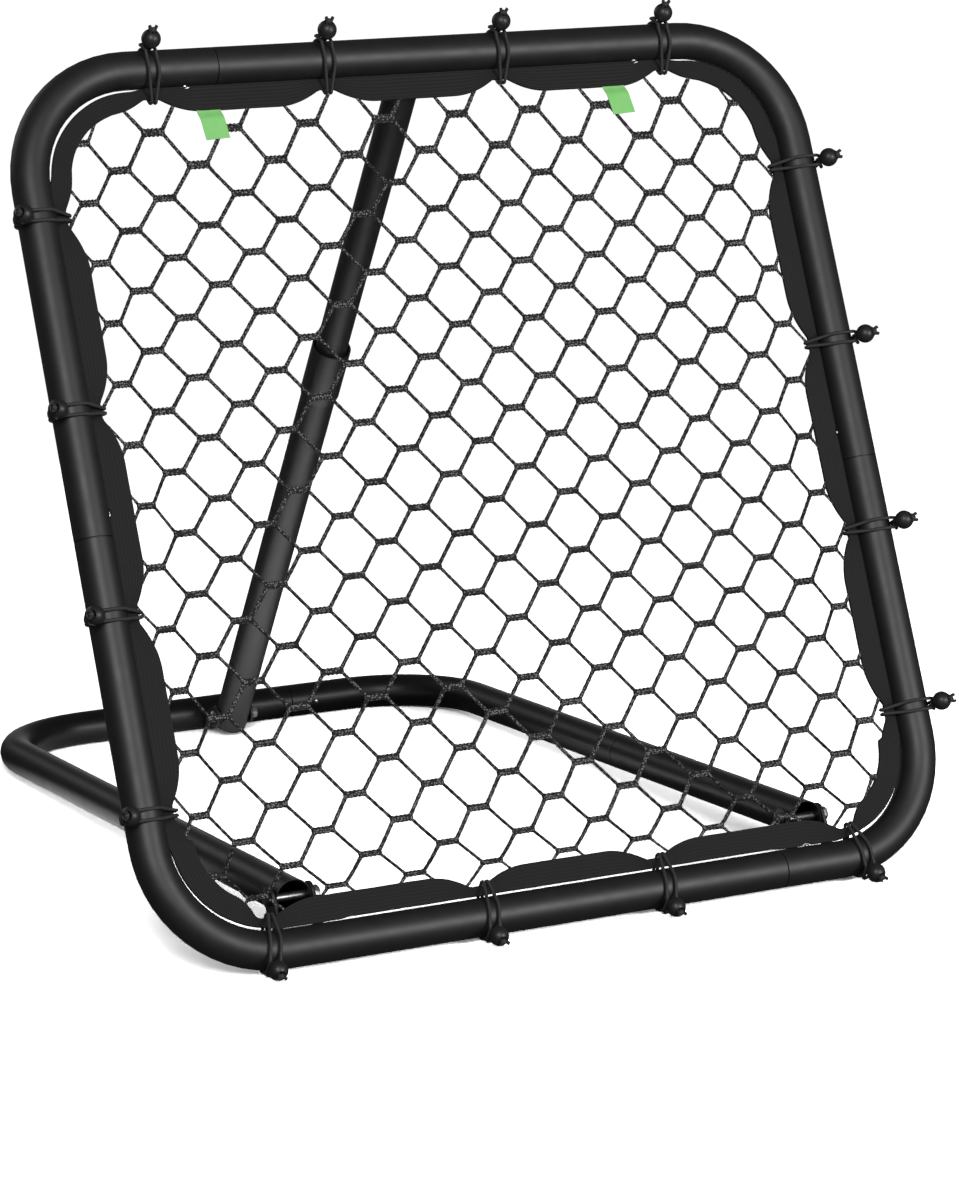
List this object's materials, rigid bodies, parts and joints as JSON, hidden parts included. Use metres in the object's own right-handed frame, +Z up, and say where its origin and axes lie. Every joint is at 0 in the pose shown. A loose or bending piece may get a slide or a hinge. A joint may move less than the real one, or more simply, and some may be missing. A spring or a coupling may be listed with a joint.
{
  "type": "ball rebounder net",
  "caption": "Free-standing pitch back rebounder: a hexagon mesh net held by ball bungees in a leaning tube frame on a U-shaped tube base with a telescopic rear strut.",
  "frame": {"origin": "on the floor under the middle of the frame's bottom bar axis", "axes": "+X to the viewer's right when facing the net, +Y back along the base, +Z up"},
  "size_m": [0.9114, 0.964, 0.8661],
  "materials": {
    "tube": "satin black powder coat",
    "bracket": "satin black powder coat",
    "fastener": "zinc plated",
    "button": "bright steel",
    "collar": "black moulded plastic",
    "webbing": "black woven band",
    "cord": "black braided elastic",
    "ball": "black moulded plastic",
    "tag": "pale green woven label without print"
  },
  "bodies": {
    "base": {"base_rear_left": "tube", "base_rear_right": "tube", "base_arm_left": "tube", "base_arm_right": "tube", "foot_bracket": "bracket", "foot_bolt": "fastener", "foot_nut": "fastener"},
    "frame": {"frame_top_left": "tube", "frame_top_right": "tube", "frame_bottom_right": "tube", "frame_bottom_left": "tube", "arm_brackets": "bracket", "strut_bracket": "bracket", "frame_bolts": "fastener", "frame_nuts": "fastener", "top_stud": "fastener", "hem": "webbing", "net": "webbing", "tags": "tag", "bungee_cords_upper": "cord", "bungee_cords_bottom": "cord", "bungee_balls_upper": "ball", "bungee_balls_bottom": "ball"},
    "strut_lower": {"strut_lower": "tube", "strut_collar": "collar"},
    "strut_upper": {"strut_upper": "tube"},
    "button_top": {"button_top": "button"},
    "button_left": {"button_left": "button"},
    "button_right": {"button_right": "button"},
    "button_bottom": {"button_bottom": "button"},
    "button_rear": {"button_rear": "button"},
    "button_arm_left": {"button_arm_left": "button"},
    "button_arm_right": {"button_arm_right": "button"}
  },
  "joints": [
    {"name": "frame_fold", "type": "hinge", "parent": "base", "child": "frame", "pos_m": [0, 0.04039, 0.06079], "axis": [1, 0, 0], "range_deg": [-6, 6]},
    {"name": "strut_swing", "type": "hinge", "parent": "base", "child": "strut_lower", "pos_m": [0, 0.85273, 0.02537], "axis": [1, 0, 0], "range_deg": [-3, 3]},
    {"name": "strut_slide", "type": "slide", "parent": "strut_lower", "child": "strut_upper", "axis": [0, -0.5439, 0.8391], "range_m": [-0.07, 0.07]},
    {"name": "button_top_press", "type": "slide", "parent": "frame", "child": "button_top", "axis": [0, 0.3894, 0.9211], "range_m": [0, 0.003], "stiffness_N_per_m": 800},
    {"name": "button_left_press", "type": "slide", "parent": "frame", "child": "button_left", "axis": [-1, 0, 0], "range_m": [0, 0.003], "stiffness_N_per_m": 800},
    {"name": "button_right_press", "type": "slide", "parent": "frame", "child": "button_right", "axis": [1, 0, 0], "range_m": [0, 0.003], "stiffness_N_per_m": 800},
    {"name": "button_bottom_press", "type": "slide", "parent": "frame", "child": "button_bottom", "axis": [0, -0.3894, -0.9211], "range_m": [0, 0.003], "stiffness_N_per_m": 800},
    {"name": "button_rear_press", "type": "slide", "parent": "base", "child": "button_rear", "axis": [0, 0.9988, -0.0485], "range_m": [0, 0.003], "stiffness_N_per_m": 800},
    {"name": "button_arm_left_press", "type": "slide", "parent": "base", "child": "button_arm_left", "axis": [-1, 0, 0], "range_m": [0, 0.003], "stiffness_N_per_m": 800},
    {"name": "button_arm_right_press", "type": "slide", "parent": "base", "child": "button_arm_right", "axis": [1, 0, 0], "range_m": [0, 0.003], "stiffness_N_per_m": 800}
  ],
  "couplings": [
    {"joint": "strut_swing", "follows": "frame_fold", "ratio": 0.48441},
    {"joint": "strut_slide", "follows": "frame_fold", "m_per_rad": 0.6624}
  ]
}
